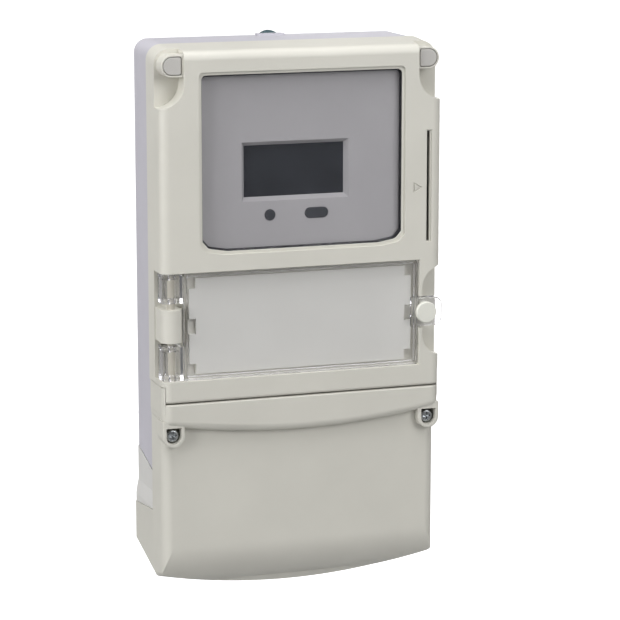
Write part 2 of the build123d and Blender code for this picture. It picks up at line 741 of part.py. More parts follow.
def load_relays():
    """Latching relays that cut the supply when the credit runs out."""
    relays = []
    for x in RELAY_XS:
        case = block((x - 13, x + 13), (6, 31), (RELAY_LOW, RELAY_HIGH))
        relays.append(fillet(case.edges().filter_by(Axis.Y), 1.5))
    return relays


def copper_links():
    """The studs that carry each phase's current through its transformer."""
    return [upright(x, PHASE_DEPTH, 3.0, RELAY_HIGH, 24) for x in RELAY_XS]


def current_transformers():
    """Ring cores that measure the phase currents."""
    rings = []
    for x in RELAY_XS:
        ring = upright(x, PHASE_DEPTH, 11.5, 6, 18)
        ring = fillet(ring.edges(), 1.5)
        rings.append(ring - upright(x, PHASE_DEPTH, 4.5, 5, 19))
    return rings


def bar(left, right, low, high):
    """A flat copper bar in the plane of the terminals."""
    half = BUSBAR_THICK / 2
    return block((left, right), (WIRE_DEPTH - half, WIRE_DEPTH + half), (low, high))


def neutral_link():
    """The bar that joins the two neutral terminals."""
    left, right = TERMINAL_XS[-2:]
    return bar(left - BUSBAR_HALF, right + BUSBAR_HALF, RELAY_LOW, RELAY_LOW + 6)


def busbars():
    """Copper strips from the terminal clamps up to the relays and the neutral link."""
    return [bar(x - BUSBAR_HALF, x + BUSBAR_HALF, CAGE_HIGH, RELAY_LOW) for x in TERMINAL_XS]


def communication_module():
    """The plug-in radio module behind the inner panel."""
    body = block((-48, -4), (MODULE_BACK + 4, 52), (-17, 17))
    body = fillet(body.edges().filter_by(Axis.Y), 1.5)
    return body - block((-36, -16), (51, 53), (-10, 10))


def meter_battery():
    """The replaceable battery that lets the display be read without supply."""
    cell = lying(8, 42, MODULE_BACK + 10, 0, CELL_RADIUS)
    return fillet(cell.edges(), 0.8)


def battery_holder():
    """The cradle that the replaceable battery lies in."""
    cradle = block((6, 44), (MODULE_BACK, MODULE_BACK + 10), (-9, 9))
    return cradle - lying(7.6, 42.4, MODULE_BACK + 10, 0, CELL_RADIUS + 0.2)


# Door ------------------------------------------------------------------------------------------

def inner_panel():
    """The opaque panel under the door, with small notches along its two ends."""
    left, right = -60.4, 60.9
    low, high = -24.8, 25.6
    panel = block((left, right), (RECESS_FLOOR, RECESS_FLOOR + 2), (low, high))
    notch_rows = ((high - 5.4, high + 1), (-3.7, 4.3), (low - 1, low + 5.4))
    for zs in notch_rows:
        panel = panel - block((left - 1, left + 3.6), (50, 60), zs)
        panel = panel - block((right - 3.6, right + 1), (50, 60), zs)
    return panel


def door_knuckle(low, high):
    """A square knuckle of the door, with a window to the front that shows the pin."""
    end = 2.4
    wall = 2.3
    barrel = block((HINGE_X - BARREL, HINGE_X + BARREL), (HINGE_DEPTH - BARREL, DOOR_FRONT),
                   (low, high))
    barrel = fillet(barrel.edges().filter_by(Axis.Z), 1.8)
    bridge = block((HINGE_X + BARREL - 2, -62), (DOOR_FRONT - DOOR_THICK, DOOR_FRONT), (low, high))
    window = block((HINGE_X - BARREL + wall, HINGE_X + BARREL - wall),
                   (HINGE_DEPTH - BARREL + wall, DOOR_FRONT + 1), (low + end, high - end))
    bore = upright(HINGE_X, HINGE_DEPTH, PIN + FIT, low - 1, high + 1)
    return cut(barrel + bridge, [window, bore])


def flip_door():
    """The clear door: a shallow tray with two knuckles and an ear for the knob."""
    left, right = DOOR_LEFT, RECESS_RIGHT - GAP
    low, high = RECESS_LOW + GAP, RECESS_HIGH - GAP
    back = DOOR_FRONT - DOOR_THICK
    plate = block((left, right), (back, DOOR_FRONT), (low, high))
    plate = fillet(plate.edges().filter_by(Axis.Y).sort_by(Axis.X)[-2:], 1.5)
    rim = block((left, right), (RECESS_FLOOR + 2.6, back), (low, high))
    rim = rim - block((left + 1.6, right - 1.6), (50, 62), (low + 1.6, high - 1.6))
    ear = block((RECESS_RIGHT - 4, KNOB_X + EAR_REACH), (58.4, DOOR_FRONT),
                (KNOB_Z - EAR_HALF, KNOB_Z + EAR_HALF))
    ear = fillet(ear.edges().filter_by(Axis.Y).sort_by(Axis.X)[-2:], 4.6)
    ear = fillet(ear.faces().sort_by(Axis.Y)[0].edges().sort_by(Axis.X)[1:], 0.8)
    door = joined(plate, [rim, ear])
    door = door + door_knuckle(POST_HIGH + 3.6, RECESS_HIGH - 0.6)
    door = door + door_knuckle(RECESS_LOW + 0.6, POST_LOW - 1.8)
    return door - rod(KNOB_X, KNOB_Z, 3.0 + FIT, 50, 70)


def hinge_pin():
    """The moulded pin of the door's hinge, fixed in the cover."""
    pin = upright(HINGE_X, HINGE_DEPTH, PIN, RECESS_LOW - 1.6, RECESS_HIGH + 1.6)
    return chamfer(pin.edges(), 0.3)


def door_knob():
    """The quarter-turn knob: a flat head, a shaft through the ear and a tongue behind it."""
    head = rod(KNOB_X, KNOB_Z, KNOB_RADIUS, DOOR_FRONT + 0.2, 64.2)
    head = fillet(head.faces().sort_by(Axis.Y)[0].edges(), 0.6)
    shaft = rod(KNOB_X, KNOB_Z, 3.0, 55.0, DOOR_FRONT + 0.2)
    groove = rod(KNOB_X, KNOB_Z, 3.5, 57.0, 58.0) - rod(KNOB_X, KNOB_Z, 2.2, 50, 60)
    tongue = block((KNOB_X - 1.2, KNOB_X + 1.2), (55.0, 56.8), (KNOB_Z - 5, KNOB_Z + 5))
    return head + (shaft - groove) + tongue


def knob_clip():
    """The snap ring that keeps the knob in the ear."""
    ring = rod(KNOB_X, KNOB_Z, 3.6, 57.1, 57.9) - rod(KNOB_X, KNOB_Z, 2.2, 50, 60)
    return ring - block((KNOB_X, KNOB_X + 6), (50, 60), (KNOB_Z - 1.4, KNOB_Z + 1.4))


# Terminal cover --------------------------------------------------------------------------------

def arc_edge(z_middle, radius, half, high):
    """The area above a lower edge that is an arc, highest at its ends."""
    sag = radius - (radius ** 2 - half ** 2) ** 0.5
    edge = ThreePointArc((-half, z_middle + sag), (0, z_middle), (half, z_middle + sag))
    rest = Polyline((half, z_middle + sag), (half, high), (-half, high), (-half, z_middle + sag))
    return make_face(edge + rest)


def band(inset):
    """The raised band across the top of the terminal cover."""
    outline = arc_edge(BAND_LOW + inset, BAND_CURVE, BAND_HALF - inset, BAND_TOP - inset)
    body = front_prism(outline, JOINT + 1.0 - inset, DEPTH - inset)
    sides = body.faces().sort_by(Axis.Y)[0].edges().filter_by(Axis.Z)
    body = fillet(sides, EDGE_RADIUS - inset)
    front = body.faces().sort_by(Axis.Y)[0].edges().sort_by(Axis.Z)
    if inset:
        return body
    body = fillet(front[0], LIP_RADIUS)
    return fillet(body.faces().sort_by(Axis.Y)[0].edges().sort_by(Axis.Z)[-1], 0.8)


def bottom_prism(z_middle, half, corner, slope):
    """The space above a bottom that curves across the cover and slopes along its depth."""
    outline = arc_edge(z_middle, BOTTOM_CURVE, half, 0)
    outline = fillet(outline.vertices().sort_by(Axis.Y)[:2], corner)
    return extrude(Plane.XZ * outline, amount=90, dir=(0, -1, slope))


def lower_body(inset):
    """The terminal cover's main part, curled back at its lower front edge."""
    half_rear, half_front = SIDE_REAR - inset, SIDE_FRONT - inset
    front = LOWER_FRONT - inset
    rear = -1.0 if inset else 0.0
    plan = polygon((-half_rear, -rear), (half_rear, -rear), (half_front, -JOINT),
                   (half_front - 0.4, -front), (-half_front + 0.4, -front), (-half_front, -JOINT))
    plan = fillet(plan.vertices().sort_by(Axis.Y)[:2], SIDE_RADIUS - inset)
    radius = CURL - inset
    angle = radians(CURL_ANGLE)
    centre = LOWER_FRONT - CURL
    end = (centre + radius * cos(angle), CURL_START - radius * sin(angle))
    curl = ThreePointArc(
        (front, CURL_START),
        (centre + radius * cos(angle / 2), CURL_START - radius * sin(angle / 2)), end)
    rest = Polyline(end, (end[0] - 6, end[1] - 14), (-5, end[1] - 14), (-5, BAND_TOP - 1 - inset),
                    (front, BAND_TOP - 1 - inset), (front, CURL_START))
    profile = make_face(curl + rest)
    body = top_prism(plan, -160, BAND_TOP - 1) & side_prism(profile, -90, 90)
    body = body & bottom_prism(BOTTOM_REAR + inset, half_front, 6.0 - inset, -BOTTOM_FALL)
    return body & bottom_prism(BOTTOM_FRONT + inset, half_front, 3.0 - inset, BOTTOM_RISE)


def seal_boss():
    """The D-shaped boss around a seal screw."""
    outline = Pos(BOSS_X, BOSS_Z) * Circle(BOSS_HALF)
    outline += Pos(BOSS_X, BOSS_Z + 4) * Rectangle(2 * BOSS_HALF, 8)
    boss = front_prism(outline, BOSS_REAR, DEPTH - 1.0)
    front = boss.faces().sort_by(Axis.Y)[0].edges().sort_by(Axis.Z)[:-1]
    return fillet(front, 0.7)


def seal_boss_hole():
    """The screw's opening in the boss, with a hole for its shank."""
    outline = Pos(BOSS_X, BOSS_Z) * Circle(BOSS_HOLE_HALF)
    outline += Pos(BOSS_X, BOSS_Z + 2.3) * Rectangle(2 * BOSS_HOLE_HALF, 4.6)
    opening = front_prism(outline, BOSS_REAR + WALL, DEPTH + 1)
    opening = opening - rod(BOSS_X, BOSS_Z, SEAL_HEAD_RADIUS - 0.5, 40, SEAL_HEAD_FRONT - 2.2)
    return opening + rod(BOSS_X, BOSS_Z, SEAL_SHANK + 0.25, 40, 60)


def wing():
    """The upper end of the terminal cover's side, which laps the upper cover."""
    plan = block((WING, COVER_HALF - 0.2), (JOINT + 1, DEPTH), (-45, -20))
    rounded = front_prism(rounded_top(COVER_HALF - 0.2, -60, 0, 2.0), JOINT, DEPTH)
    sides = rounded.faces().sort_by(Axis.Y)[0].edges().filter_by(Axis.Z)
    rounded = fillet(sides, EDGE_RADIUS)
    return plan & rounded & side_prism(wing_seam(0), 60, 80)


def tab_notch():
    """The notch in the terminal cover's upper wall for a tab of the upper cover."""
    return block((TAB_X - 6.2, TAB_X + 6.2), (JOINT - 2, TAB_FRONT + 0.8), (BAND_TOP - 3, PARTING))


def terminal_cover():
    """The lower cover over the terminals, open at the back and at the bottom for the cables."""
    rear, front = -5, JOINT + 1
    behind = polygon((rear, below_cheeks(rear, GAP / 2)), (front, below_cheeks(front, GAP / 2)),
                     (front, 0), (rear, 0))
    outer = lower_body(0) - side_prism(behind, -90, 90)
    shell = joined(band(0) + outer, both_sides(seal_boss()))
    room = joined(band(WALL), [lower_body(WALL)])
    room = cut(room, both_sides(seal_boss()))
    shell = cut(shell, [room, block((-66, 66), (-5, 34), (-150, -110))])
    shell = cut(shell, both_sides(seal_boss_hole()) + both_sides(tab_notch()))
    return joined(shell, both_sides(wing()))


def seal_screw():
    """The screw that holds the terminal cover and takes a seal wire."""
    return pan_screw(BOSS_X, BOSS_Z, SEAL_HEAD_FRONT, SEAL_HEAD_RADIUS, SEAL_SHANK, 40)


def seal_inserts():
    """Brass inserts in the base that take the seal screws."""
    insert = rod(BOSS_X, BOSS_Z, INSERT_RADIUS, POST_FRONT - 10, POST_FRONT)
    return both_sides(insert - rod(BOSS_X, BOSS_Z, SEAL_SHANK + 0.1, 30, 50))


def cover_screws_top():
    """The two screws under the plugs."""
    return both_sides(pan_screw(COVER_SCREW_X, TOWER_Z, COVER_SCREW_FRONT, 3.4, SCREW_HOLE, 24))


def cover_screws_bottom():
    """The two screws in the cover's lower tabs."""
    return both_sides(pan_screw(TAB_X, TAB_Z, TAB_FRONT + 2.2, 3.2, SCREW_HOLE, 26))


# Terminals -------------------------------------------------------------------------------------

def terminal_block():
    """The insulating block with a chamber for each clamp and holes for tool and wire."""
    body = block((-BLOCK_HALF, BLOCK_HALF), (BACK, BLOCK_FRONT), (BLOCK_LOW, BLOCK_HIGH))
    body = fillet(body.edges().filter_by(Axis.Y), 1.5)
    half = CAGE / 2
    for x in TERMINAL_XS:
        chamber = block((x - half, x + half), (WIRE_DEPTH - half, WIRE_DEPTH + half),
                        (CAGE_LOW, CAGE_HIGH))
        entry = upright(x, WIRE_DEPTH, WIRE_RADIUS + 0.4, BLOCK_LOW - 1, CAGE_LOW)
        bar = block((x - 3.1, x + 3.1), (WIRE_DEPTH - 0.9, WIRE_DEPTH + 0.9), (CAGE_HIGH, -50))
        tools = [rod(x, z, 3.6, WIRE_DEPTH, 45) for z in CLAMP_SCREW_ZS]
        body = cut(body, [chamber, entry, bar] + tools)
    return cut(body, both_sides(rod(BLOCK_SCREW_X, BLOCK_SCREW_Z, SCREW_HOLE, 0, 45)))


def terminal_clamps():
    """Brass cages, bored from below for the wires."""
    cages = []
    half = CAGE / 2
    for x in TERMINAL_XS:
        cage = block((x - half, x + half), (WIRE_DEPTH - half, WIRE_DEPTH + half),
                     (CAGE_LOW, CAGE_HIGH))
        cage = cage - upright(x, WIRE_DEPTH, WIRE_RADIUS, CAGE_LOW - 1, CAGE_HIGH - 3)
        cages.append(cut(cage, [rod(x, z, 2.5, WIRE_DEPTH, 40) for z in CLAMP_SCREW_ZS]))
    return cages


def clamp_screws():
    """The screws that press on the wires, two for each clamp."""
    tip = WIRE_DEPTH + WIRE_RADIUS
    return [pan_screw(x, z, BLOCK_FRONT - 2.5, 3.2, 2.5, tip)
            for x in TERMINAL_XS for z in CLAMP_SCREW_ZS]


def terminal_block_screws():
    """The two screws that hold the terminal block to the base."""
    return both_sides(
        pan_screw(BLOCK_SCREW_X, BLOCK_SCREW_Z, BLOCK_FRONT + 2.2, 3.0, 1.6, BACK))


def aux_terminal_block():
    """The small terminals for pulse output and data lines."""
    body = block((-25, 25), (BLOCK_FRONT, BLOCK_FRONT + 9), (-66, -55))
    entries = [block((x - 1.6, x + 1.6), (BLOCK_FRONT + 2, BLOCK_FRONT + 5.2), (-70, -62))
               for x in AUX_XS]
    tools = [rod(x, AUX_SCREW_Z, 2.2, BLOCK_FRONT + 5, 60) for x in AUX_XS]
    return cut(body, entries + tools)


def aux_terminal_screws():
    """The screws of the small terminals."""
    return [pan_screw(x, AUX_SCREW_Z, BLOCK_FRONT + 8, 2.0, 1.2, BLOCK_FRONT + 5.2)
            for x in AUX_XS]


def write(name, made):
    """Write one node, as one solid or as a group of separate solids."""
    shape = Compound(children=list(made)) if isinstance(made, list) else made
    export_step(shape, f"parts/{name}.step")


NODES = {
    "base_case": base_case,
    "side_cheek_right": side_cheek,
    "side_cheek_left": lambda: mirrored(side_cheek()),
    "mounting_hanger": mounting_hanger,
    "hanger_rivet": hanger_rivet,
    "upper_cover": upper_cover,
    "screw_plug_right": screw_plug,
    "screw_plug_left": lambda: mirrored(screw_plug()),
    "cover_gasket": cover_gasket,
    "cover_screws_top": cover_screws_top,
    "cover_screws_bottom": cover_screws_bottom,
    "window_lens": window_lens,
    "faceplate": faceplate,
    "lcd_glass": lcd_glass,
    "lcd_backlight": lcd_backlight,
    "pulse_led": pulse_led,
    "pulse_led_window": pulse_led_window,
    "infrared_window": infrared_window,
    "infrared_pair": infrared_pair,
    "main_board": main_board,
    "board_standoffs": board_standoffs,
    "board_screws": board_screws,
    "power_board": power_board,
    "transformer_core": transformer_core,
    "transformer_coil": transformer_coil,
    "capacitors": capacitors,
    "surge_arresters": surge_arresters,
    "backup_battery": backup_battery,
    "processor_chips": processor_chips,
    "buzzer": buzzer,
    "card_reader": card_reader,
    "card_contacts": card_contacts,
    "contact_block": contact_block,
    "load_relays": load_relays,
    "copper_links": copper_links,
    "current_transformers": current_transformers,
    "neutral_link": neutral_link,
    "busbars": busbars,
    "communication_module": communication_module,
    "meter_battery": meter_battery,
    "battery_holder": battery_holder,
    "inner_panel": inner_panel,
    "flip_door": flip_door,
    "hinge_pin": hinge_pin,
    "door_knob": door_knob,
    "knob_clip": knob_clip,
    "terminal_cover": terminal_cover,
    "seal_screw_right": seal_screw,
    "seal_screw_left": lambda: mirrored(seal_screw()),
    "seal_inserts": seal_inserts,
    "terminal_block": terminal_block,
    "terminal_clamps": terminal_clamps,
    "clamp_screws": clamp_screws,
    "terminal_block_screws": terminal_block_screws,
    "aux_terminal_block": aux_terminal_block,
    "aux_terminal_screws": aux_terminal_screws,
}

os.makedirs("parts", exist_ok=True)
for node, make in NODES.items():
    write(node, make())
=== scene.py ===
"""Looks for the prepaid electricity meter: materials, a dark strip painted as shade round the
window, stage, lights, camera.
"""

import json
import math

import bmesh
import bpy
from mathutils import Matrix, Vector


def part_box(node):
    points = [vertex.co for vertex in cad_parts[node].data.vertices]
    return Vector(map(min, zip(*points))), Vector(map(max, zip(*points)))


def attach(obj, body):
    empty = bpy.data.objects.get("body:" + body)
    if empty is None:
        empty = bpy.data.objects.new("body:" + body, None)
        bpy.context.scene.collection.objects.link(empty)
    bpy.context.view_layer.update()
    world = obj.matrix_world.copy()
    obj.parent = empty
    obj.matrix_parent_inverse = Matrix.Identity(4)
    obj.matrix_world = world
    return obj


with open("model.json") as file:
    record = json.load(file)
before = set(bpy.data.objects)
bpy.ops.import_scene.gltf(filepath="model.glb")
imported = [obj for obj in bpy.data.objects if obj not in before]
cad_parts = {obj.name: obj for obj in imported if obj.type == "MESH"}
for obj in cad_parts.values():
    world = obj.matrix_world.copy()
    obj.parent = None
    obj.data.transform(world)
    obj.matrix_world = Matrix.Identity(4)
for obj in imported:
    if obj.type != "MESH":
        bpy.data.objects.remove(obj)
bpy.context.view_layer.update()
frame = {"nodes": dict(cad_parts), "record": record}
NODES = frame["nodes"]
MM = 0.001
METER = Vector((0, -0.03, 0))    # about its middle, which the lights point at


# Colours ---------------------------------------------------------------------------------------

def linear(hex_colour):
    """A colour written as six hex digits, as linear red, green, blue and alpha."""
    values = [int(hex_colour[i:i + 2], 16) / 255 for i in (0, 2, 4)]
    return [v / 12.92 if v <= 0.04045 else ((v + 0.055) / 1.055) ** 2.4 for v in values] + [1.0]


def scaled(colour, factor):
    """A linear colour made lighter or darker."""
    return [min(1.0, c * factor) for c in colour[:3]] + [1.0]


# Node helpers ----------------------------------------------------------------------------------

class Graph:
    """A material's nodes, with short calls for the ones used here."""

    def __init__(self, name):
        self.material = bpy.data.materials.new(name)
        self.material.use_nodes = True
        self.nodes = self.material.node_tree.nodes
        self.links = self.material.node_tree.links
        self.nodes.clear()
        self.output = self.nodes.new("ShaderNodeOutputMaterial")
        self.shader = self.nodes.new("ShaderNodeBsdfPrincipled")
        self.links.new(self.shader.outputs[0], self.output.inputs["Surface"])
        self.coordinates = self.nodes.new("ShaderNodeTexCoord").outputs["Object"]

    def node(self, kind, **values):
        """A new node with its settings."""
        made = self.nodes.new(kind)
        for key, value in values.items():
            setattr(made, key, value)
        return made

    def feed(self, socket, value):
        """Links a socket, or sets its value."""
        if isinstance(value, bpy.types.NodeSocket):
            self.links.new(value, socket)
        else:
            socket.default_value = value

    def stretched(self, scale):
        """The object's coordinates, scaled differently along X, Y and Z."""
        mapping = self.node("ShaderNodeMapping")
        self.feed(mapping.inputs["Vector"], self.coordinates)
        mapping.inputs["Scale"].default_value = scale
        return mapping.outputs["Vector"]

    def noise(self, size, detail=3.0, vector=None, roughness=0.5):
        """Noise whose features are about size metres across, from 0 to 1."""
        made = self.node("ShaderNodeTexNoise")
        self.feed(made.inputs["Vector"], vector or self.coordinates)
        made.inputs["Scale"].default_value = 1.0 / size
        made.inputs["Detail"].default_value = detail
        made.inputs["Roughness"].default_value = roughness
        return made.outputs["Fac"]

    def ramp(self, value, low, high, to_low=0.0, to_high=1.0):
        """A value mapped from one range to another, and held at its ends."""
        made = self.node("ShaderNodeMapRange", clamp=True)
        self.feed(made.inputs["Value"], value)
        made.inputs["From Min"].default_value = low
        made.inputs["From Max"].default_value = high
        made.inputs["To Min"].default_value = to_low
        made.inputs["To Max"].default_value = to_high
        return made.outputs["Result"]

    def mix(self, factor, first, second, blend="MIX"):
        """Two colours mixed."""
        made = self.node("ShaderNodeMix", data_type="RGBA", blend_type=blend)
        self.feed(made.inputs[0], factor)
        self.feed(made.inputs[6], first)
        self.feed(made.inputs[7], second)
        return made.outputs[2]

    def maths(self, operation, first, second):
        """Two values combined."""
        made = self.node("ShaderNodeMath", operation=operation)
        self.feed(made.inputs[0], first)
        self.feed(made.inputs[1], second)
        return made.outputs[0]

    def crevice(self, distance, inside=False):
        """1 in the open and towards 0 in corners, or at sharp edges when inside is set."""
        made = self.node("ShaderNodeAmbientOcclusion", samples=6, inside=inside, only_local=inside)
        made.inputs["Distance"].default_value = distance
        return made.outputs["AO"]

    def soft_edges(self, radius):
        """Normals that round the sharp edges."""
        made = self.node("ShaderNodeBevel", samples=4)
        made.inputs["Radius"].default_value = radius
        return made.outputs["Normal"]

    def bump(self, height, depth, normal=None):
        """A bump of the given depth in metres for a height from 0 to 1."""
        made = self.node("ShaderNodeBump")
        made.inputs["Strength"].default_value = 1.0
        made.inputs["Distance"].default_value = depth
        self.feed(made.inputs["Height"], height)
        if normal:
            self.feed(made.inputs["Normal"], normal)
        return made.outputs["Normal"]

    def let_light_through(self):
        """Lets shadow and diffuse rays pass straight, so the space behind clear plastic is lit."""
        path = self.node("ShaderNodeLightPath")
        straight = self.node("ShaderNodeBsdfTransparent")
        surface = self.shader.outputs[0]
        for ray in ("Is Shadow Ray", "Is Diffuse Ray"):
            chooser = self.node("ShaderNodeMixShader")
            self.feed(chooser.inputs[0], path.outputs[ray])
            self.links.new(surface, chooser.inputs[1])
            self.links.new(straight.outputs[0], chooser.inputs[2])
            surface = chooser.outputs[0]
        self.links.new(surface, self.output.inputs["Surface"])

    def finish(self, colour, roughness, normal=None, **constants):
        """Sets the shader's sockets and returns the material."""
        self.feed(self.shader.inputs["Base Color"], colour)
        self.feed(self.shader.inputs["Roughness"], roughness)
        if normal:
            self.feed(self.shader.inputs["Normal"], normal)
        for name, value in constants.items():
            self.shader.inputs[name.replace("_", " ")].default_value = value
        return self.material


# Materials -------------------------------------------------------------------------------------

def moulded(name, colour, roughness=0.42, grain=0.35 * MM, depth=0.010 * MM, edge=0.35 * MM,
            corner_shade_strength=0.06):
    """Moulded plastic: spark-eroded grain, faint flow clouds, lighter worn edges, and painted shade
    darkening the corners.
    """
    g = Graph(name)
    clouds = g.noise(45 * MM, 4.0)
    base = g.mix(g.ramp(clouds, 0.35, 0.65), scaled(colour, 0.975), scaled(colour, 1.02))
    specks = g.ramp(g.noise(0.9 * MM, 2.0), 0.68, 0.80)
    base = g.mix(g.maths("MULTIPLY", specks, 0.10), base, scaled(colour, 0.80))
    worn = g.ramp(g.crevice(0.9 * MM, inside=True), 0.35, 0.75, 0.30, 0.0)
    base = g.mix(worn, base, scaled(colour, 1.16))
    # Painted shade: the colour darkens towards corners and recesses, where shade falls.
    painted_corner_shade = g.ramp(g.crevice(5 * MM), 0.30, 0.95, corner_shade_strength, 0.0)
    base = g.mix(painted_corner_shade, base, scaled(colour, 0.55))
    grain_height = g.noise(grain, 3.0, roughness=0.6)
    waves = g.noise(28 * MM, 1.0)
    normal = g.bump(waves, 0.05 * MM, g.soft_edges(edge))
    normal = g.bump(grain_height, depth, normal)
    rough = g.ramp(g.noise(12 * MM, 4.0), 0.3, 0.7, roughness - 0.05, roughness + 0.07)
    return g.finish(base, rough, normal, IOR=1.49)


def metal(name, colour, roughness=0.30, stretch=(1, 1, 1), scratch=0.6 * MM):
    """Plated or turned metal with fine scratches, tarnish and bright edges."""
    g = Graph(name)
    tarnish = g.ramp(g.noise(3 * MM, 5.0), 0.35, 0.70)
    base = g.mix(g.maths("MULTIPLY", tarnish, 0.35), colour, scaled(colour, 0.62))
    bright = g.ramp(g.crevice(0.5 * MM, inside=True), 0.35, 0.80, 0.5, 0.0)
    base = g.mix(bright, base, scaled(colour, 1.35))
    lines = g.noise(scratch, 4.0, g.stretched(stretch), 0.7)
    rough = g.ramp(lines, 0.3, 0.7, roughness - 0.10, roughness + 0.14)
    normal = g.bump(lines, 0.012 * MM, g.soft_edges(0.15 * MM))
    return g.finish(base, rough, normal, Metallic=1.0)


def clear(name, tint, roughness=0.04):
    """Clear moulded polycarbonate with faint ripples and fine scratches."""
    g = Graph(name)
    ripples = g.noise(16 * MM, 2.0)
    scratches = g.noise(1.2 * MM, 5.0, g.stretched((0.25, 1, 1)), 0.75)
    normal = g.bump(ripples, 0.06 * MM, g.soft_edges(0.25 * MM))
    normal = g.bump(scratches, 0.002 * MM, normal)
    rough = g.ramp(scratches, 0.55, 0.75, roughness, roughness + 0.14)
    haze = g.ramp(g.noise(30 * MM, 3.0), 0.3, 0.7)
    colour = g.mix(haze, tint, scaled(tint, 0.985))
    g.let_light_through()
    return g.finish(colour, rough, normal, IOR=1.58, Transmission_Weight=1.0)


def thin_pane(name, tint, roughness=0.05):
    """The window pane, which shows what lies behind it almost unchanged."""
    g = Graph(name)
    scratches = g.noise(1.5 * MM, 5.0, g.stretched((1, 1, 0.2)), 0.75)
    rough = g.ramp(scratches, 0.55, 0.8, roughness, roughness + 0.10)
    normal = g.bump(g.noise(40 * MM, 1.0), 0.05 * MM, g.soft_edges(0.3 * MM))
    haze = g.ramp(g.noise(20 * MM, 3.0), 0.3, 0.7)
    colour = g.mix(haze, tint, scaled(tint, 0.98))
    g.let_light_through()
    return g.finish(colour, rough, normal, IOR=1.45, Transmission_Weight=1.0)


def display_glass():
    """The unlit display: dark, glossy, with the segments' electrodes barely showing."""
    g = Graph("display_glass")
    colour = linear("323439")
    wide = g.noise(22 * MM, 2.0)
    base = g.mix(g.ramp(wide, 0.35, 0.65), scaled(colour, 0.86), scaled(colour, 1.12))
    cells = g.node("ShaderNodeTexBrick", offset=0.0)
    turned = g.node("ShaderNodeMapping")
    g.feed(turned.inputs["Vector"], g.coordinates)
    turned.inputs["Rotation"].default_value = (math.radians(90), 0, 0)
    g.feed(cells.inputs["Vector"], turned.outputs["Vector"])
    cells.inputs["Scale"].default_value = 1.0
    cells.inputs["Brick Width"].default_value = 5.6 * MM
    cells.inputs["Row Height"].default_value = 8.4 * MM
    cells.inputs["Mortar Size"].default_value = 0.35 * MM
    ghost = g.maths("MULTIPLY", cells.outputs["Fac"], 0.10)
    base = g.mix(ghost, base, scaled(colour, 1.9))
    rough = g.ramp(g.noise(6 * MM, 3.0), 0.3, 0.7, 0.10, 0.16)
    return g.finish(base, rough, g.bump(g.noise(12 * MM, 1.0), 0.02 * MM), IOR=1.52)


def dark_translucent():
    """Dark infrared-passing plastic."""
    g = Graph("dark_translucent")
    colour = linear("3A3C41")
    clouds = g.ramp(g.noise(2.2 * MM, 3.0), 0.3, 0.7)
    base = g.mix(clouds, scaled(colour, 0.85), scaled(colour, 1.1))
    rough = g.ramp(g.noise(0.8 * MM, 3.0), 0.3, 0.7, 0.30, 0.42)
    return g.finish(base, rough, g.bump(g.noise(0.5 * MM), 0.01 * MM, g.soft_edges(0.2 * MM)))


def circuit_board():
    """Green solder resist with tracks underneath, pads and a woven core."""
    g = Graph("circuit_board")
    green = linear("1F5B3A")
    tracks = g.node("ShaderNodeTexVoronoi", feature="DISTANCE_TO_EDGE", distance="MANHATTAN")
    g.feed(tracks.inputs["Vector"], g.coordinates)
    tracks.inputs["Scale"].default_value = 1.0 / (5.5 * MM)
    lines = g.ramp(tracks.outputs["Distance"], 0.05, 0.08, 1.0, 0.0)
    base = g.mix(lines, green, linear("2F7A4E"))
    weave = g.noise(0.6 * MM, 2.0, g.stretched((1, 1, 4)))
    base = g.mix(g.maths("MULTIPLY", weave, 0.2), base, scaled(green, 0.7))
    rough = g.ramp(g.noise(3 * MM), 0.3, 0.7, 0.28, 0.42)
    return g.finish(base, rough, g.bump(lines, 0.02 * MM, g.soft_edges(0.1 * MM)))


def laminated_core():
    """Stacked core sheets with a dark varnish."""
    g = Graph("laminated_core")
    colour = linear("6B6B70")
    sheets = g.node("ShaderNodeTexWave", bands_direction="Y")
    g.feed(sheets.inputs["Vector"], g.coordinates)
    sheets.inputs["Scale"].default_value = 1.0 / (3.2 * MM)
    sheets.inputs["Distortion"].default_value = 0.4
    base = g.mix(sheets.outputs["Fac"], scaled(colour, 0.5), colour)
    rust = g.ramp(g.noise(4 * MM, 5.0), 0.60, 0.75, 0.0, 0.5)
    base = g.mix(rust, base, linear("6A4A35"))
    rough = g.ramp(g.noise(1.5 * MM), 0.3, 0.7, 0.40, 0.60)
    normal = g.bump(sheets.outputs["Fac"], 0.05 * MM)
    return g.finish(base, rough, normal, Metallic=0.6)


def wound_tape():
    """Yellow tape around the transformer's winding."""
    g = Graph("wound_tape")
    colour = linear("C9A23A")
    turns = g.node("ShaderNodeTexWave", bands_direction="Z")
    g.feed(turns.inputs["Vector"], g.coordinates)
    turns.inputs["Scale"].default_value = 1.0 / (9 * MM)
    turns.inputs["Distortion"].default_value = 1.2
    base = g.mix(turns.outputs["Fac"], scaled(colour, 0.8), colour)
    rough = g.ramp(g.noise(2 * MM), 0.3, 0.7, 0.30, 0.50)
    return g.finish(base, rough, g.bump(turns.outputs["Fac"], 0.05 * MM, g.soft_edges(0.3 * MM)))


def rubber():
    """Soft black rubber with a dusty bloom."""
    g = Graph("rubber")
    colour = linear("26262A")
    bloom = g.ramp(g.noise(6 * MM, 4.0), 0.45, 0.75, 0.0, 0.35)
    base = g.mix(bloom, colour, linear("55555A"))
    rough = g.ramp(g.noise(2 * MM), 0.3, 0.7, 0.65, 0.85)
    return g.finish(base, rough, g.bump(g.noise(0.4 * MM), 0.02 * MM))


